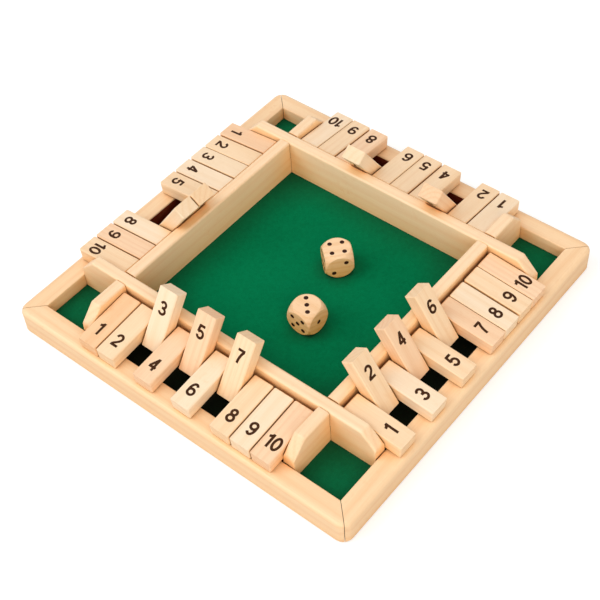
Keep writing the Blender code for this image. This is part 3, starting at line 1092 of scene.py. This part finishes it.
@dataclass
class TileRows:
    """The four rods and the ten numbered tiles on each."""

    nodes: dict[str, Object]
    joints: list[dict[str, Any]]
    printer: NumberPrinter = NumberPrinter()
    tiles: int = 10
    first_seed: int = 101
    seeds_per_row: int = 20

    def build(self) -> None:
        """Dress the rods and tiles and print the numbers."""
        hinges = {joint["child"]: joint for joint in self.joints}
        ink = NUMBER_INK.material()
        steel = DrawnSteel()
        choice = random.Random(self.first_seed)
        for row, side in enumerate(Side):
            dress(self.nodes["rod_" + side.value], steel.material(side.value, side.along()))
            for number in range(1, self.tiles + 1):
                name = f"{side.value}_{number:02d}"
                tile = "tile_" + name
                frame = TileFrame.of_tile(self.nodes[tile], hinges[tile])
                wood = MATCHED_TILES.get(name) or choice.choice(COMMON_WOODS)
                seed = self.first_seed + row * self.seeds_per_row + number
                board = Board(tile, frame.along, frame.upper, seed)
                dress(self.nodes[tile], wood.value.material(board))
                mesh = self.printer.number_mesh("number_" + name, number, frame, NUMBER_REACH[side])
                add_piece("number_" + name, mesh, ink, tile)
            log.info("row %s: rod, %d tiles and their numbers", side.value, self.tiles)


@dataclass(frozen=True)
class DieSetting:
    """How a die was thrown: its turn about the vertical, and whether it was turned over first."""

    name: str
    turn: float
    flipped: bool

    def rotation(self) -> Matrix:
        """Work out the die's turn from its own axes to the frame's.

        Returns:
            The turn.
        """
        turned = Matrix.Rotation(math.radians(self.turn), 3, "Z")
        if not self.flipped:
            return turned
        return turned @ Matrix.Rotation(-math.pi / 2, 3, "Z") @ Matrix.Rotation(math.pi, 3, "Y")


THROWN_DICE = (
    DieSetting("die_near", turn=-1.7, flipped=False),
    DieSetting("die_far", turn=-40.5, flipped=True),
)


class DieFace(Enum):
    """The faces of a die, by their pips in steps from the middle of the face."""

    ONE = ((0, 0),)
    TWO = ((-1, 1), (1, -1))
    THREE = ((-1, 1), (0, 0), (1, -1))
    FOUR = ((-1, -1), (-1, 1), (1, -1), (1, 1))
    FIVE = FOUR + ONE
    SIX = FOUR + ((0, -1), (0, 1))


# The axis that each face crosses, and on which side of the die's middle.
FACE_PLACES = {
    DieFace.THREE: (2, 1), DieFace.FOUR: (2, -1), DieFace.FIVE: (1, -1),
    DieFace.TWO: (1, 1), DieFace.ONE: (0, 1), DieFace.SIX: (0, -1),
}


@dataclass
class Dice:
    """Two wooden dice with painted pips."""

    nodes: dict[str, Object]
    pip_radius: float = 1.35 * MM
    pip_depth: float = 0.45 * MM
    pip_step: float = 3.5 * MM
    painted_share: float = 0.97
    half_paint: float = 0.1 * MM
    paint_brim: float = 0.02 * MM
    pip_rings: int = 4
    pip_corners: int = 20
    first_seed: int = 301

    def build(self) -> None:
        """Dress the dice and paint their pips."""
        paint = PIP_PAINT.material()
        for number, setting in enumerate(THROWN_DICE):
            rotation = setting.rotation()
            board = Board(setting.name, rotation.col[0], rotation.col[2], self.first_seed + number)
            dress(self.nodes[setting.name], DIE_WOOD.material(board))
            low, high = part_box(setting.name)
            mesh = self._pips_mesh("pips_" + setting.name, (high.z - low.z) / 2)
            mesh.transform(Matrix.Translation((low + high) / 2) @ rotation.to_4x4())
            mesh.shade_smooth()
            add_piece("pips_" + setting.name, mesh, paint, setting.name)
            log.info("%s: wood with painted pips", setting.name)

    def _pip_places(self, half_side: float) -> Iterator[Matrix]:
        """Find each pip's place on a die.

        Args:
            half_side: Half the die's height.

        Returns:
            The places, one by one, with z out of the die.
        """
        for face, (axis, sign) in FACE_PLACES.items():
            others = [k for k in range(3) if k != axis]
            outward = Vector((0, 0, 0))
            outward[axis] = sign
            turn = UP.rotation_difference(outward).to_matrix().to_4x4()
            for pip in face.value:
                place = outward * half_side
                for other, step in zip(others, pip):
                    place[other] = step * self.pip_step
                yield Matrix.Translation(place) @ turn

    def _pips_mesh(self, name: str, half_side: float) -> Mesh:
        """Fill every dimple of a die that stands square at the origin with a thin dish of paint.

        Args:
            name: The mesh's name.
            half_side: Half the die's height.

        Returns:
            The mesh.
        """
        drill = (self.pip_radius ** 2 + self.pip_depth ** 2) / (2 * self.pip_depth)
        reach = self.pip_radius * self.painted_share
        radii = [reach * k / self.pip_rings for k in range(self.pip_rings + 1)]
        rings = []
        for lift, way in ((self.half_paint, radii), (-self.half_paint, radii[::-1])):
            for radius in way:
                height = drill - self.pip_depth - math.sqrt(drill ** 2 - radius ** 2) + lift
                rings.append((radius, min(height, self.paint_brim)))
        bm = bmesh.new()
        for placing in self._pip_places(half_side):
            self._turn_dish(bm, rings, placing)
        return merged_mesh(name, bm)

    def _turn_dish(self, bm: bmesh.types.BMesh, rings: list[Pair], placing: Matrix) -> None:
        """Turn a profile about z and add it.

        Args:
            bm: The mesh to add to.
            rings: Radius and height of each ring, from the axis out and back to the axis.
            placing: Where it goes.
        """
        turns = [2 * math.pi * k / self.pip_corners for k in range(self.pip_corners)]
        rows = []
        for radius, height in rings:
            corners = [(radius * math.cos(turn), radius * math.sin(turn), height) for turn in turns]
            rows.append([bm.verts.new(placing @ Vector(corner)) for corner in corners])
        for first, second in zip(rows, rows[1:]):
            for k in range(self.pip_corners):
                after = (k + 1) % self.pip_corners
                bm.faces.new((first[k], first[after], second[after], second[k]))


@dataclass(frozen=True)
class Lamp:
    """A square soft lamp aimed at the box: its place, its side, its power in watts and its colour."""

    name: str
    place: Triple
    size: float
    power: float
    colour: Triple = (1.0, 1.0, 1.0)

    def light(self) -> None:
        """Add the lamp to the scene."""
        data = bpy.data.lights.new(self.name, "AREA")
        data.shape = "SQUARE"
        data.size = self.size
        data.energy = self.power
        data.color = self.colour
        lamp = bpy.data.objects.new(self.name, data)
        lamp.location = self.place
        lamp.rotation_euler = (-Vector(self.place)).to_track_quat("-Z", "Y").to_euler()
        bpy.context.scene.collection.objects.link(lamp)


STUDIO_LAMPS = (
    Lamp("key", place=(-1.6, -1.75, 2.4), size=2.4, power=48.0),
    Lamp("overhead", place=(0.0, 0.2, 2.4), size=2.4, power=4.0),
    Lamp("fill", place=(1.7, -1.2, 1.1), size=1.8, power=24.0, colour=(1.0, 0.88, 0.7)),
)


@dataclass
class Studio:
    """The white floor, the soft lights and the camera."""

    camera_place: Triple = (0.2983, -0.3378, 0.5191)
    camera_aim: Triple = (0.0022, -0.0101, 0.0067)
    camera_roll: float = -4.09
    focal_length: float = 74.18
    sensor_width: float = 36.0
    floor_size: float = 6.0
    floor_drop: float = 0.2 * MM
    floor_colour: Colour = (0.65, 0.65, 0.65, 1.0)
    floor_glow: float = 0.5
    floor_roughness: float = 0.9
    floor_specular: float = 0.1
    ambient: float = 0.56

    def build(self) -> None:
        """Set up the floor, the world, the lamps and the camera."""
        self._floor()
        self._world()
        for lamp in STUDIO_LAMPS:
            lamp.light()
        self._camera()
        bpy.context.scene.view_settings.view_transform = "Standard"
        log.info("studio: floor, world, three lamps, camera")

    def _floor(self) -> None:
        """Lay a white floor that keeps the object's shadow and shows white to the camera."""
        bm = bmesh.new()
        bmesh.ops.create_grid(bm, x_segments=1, y_segments=1, size=self.floor_size / 2)
        mesh = bpy.data.meshes.new("floor")
        bm.to_mesh(mesh)
        bm.free()
        floor = bpy.data.objects.new("floor", mesh)
        bpy.context.scene.collection.objects.link(floor)
        floor.location.z = -self.floor_drop
        material, wiring, shader = new_shader("white_floor")
        seen = wiring.node("LightPath").outputs["Is Camera Ray"]
        wiring.feed(shader, {
            "Emission Strength": wiring.times(seen, self.floor_glow),
            "Emission Color": WHITE,
            "Base Color": self.floor_colour,
            "Roughness": self.floor_roughness,
            "Specular IOR Level": self.floor_specular,
        })
        mesh.materials.append(material)
        floor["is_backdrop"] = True

    def _world(self) -> None:
        """Add a plain white surround: full white where it is seen, and softer as a light."""
        world = bpy.data.worlds.new("studio")
        bpy.context.scene.world = world
        world.use_nodes = True
        wiring = Wiring(world.node_tree)
        path = wiring.node("LightPath").outputs
        seen = wiring.math("MAXIMUM", path["Is Camera Ray"], path["Is Glossy Ray"])
        seen = wiring.math("MAXIMUM", seen, path["Is Transmission Ray"])
        strength = wiring.remap(seen, onto=(self.ambient, 1.0))
        wiring.feed(world.node_tree.nodes["Background"], {"Color": WHITE, "Strength": strength})

    def _camera(self) -> None:
        """Add the camera, at the photograph's place and angle."""
        data = bpy.data.cameras.new("camera")
        data.lens = self.focal_length
        data.sensor_width = self.sensor_width
        camera = bpy.data.objects.new("camera", data)
        sight = (Vector(self.camera_aim) - Vector(self.camera_place)).to_track_quat("-Z", "Y")
        roll = Quaternion(UP, math.radians(self.camera_roll))
        camera.location = self.camera_place
        camera.rotation_euler = (sight @ roll).to_euler()
        bpy.context.scene.collection.objects.link(camera)
        bpy.context.scene.camera = camera


def write_sizes(solids: Any, dressed: Any) -> None:
    """Gather the solids' box and the dressed model's box as lists of numbers; nothing is written.

    Args:
        solids: The box from straight after loading.
        dressed: The box just before finishing.
    """
    boxes = {"cad": solids, "visual": dressed}
    {name: [[float(part) for part in corner] for corner in box] for name, box in boxes.items()}


def main() -> None:
    """Load the frame, dress every piece, and set up the studio."""
    logging.basicConfig(level=logging.INFO, format="%(message)s")
    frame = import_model()
    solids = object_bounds()
    SharedEffects().build()
    BoxFrame(frame["nodes"]).build()
    TrayWalls(frame["nodes"]).build()
    TileRows(frame["nodes"], frame["joints"]).build()
    Dice(frame["nodes"]).build()
    Studio().build()
    write_sizes(solids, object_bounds())


if __name__ == "__main__":
    main()
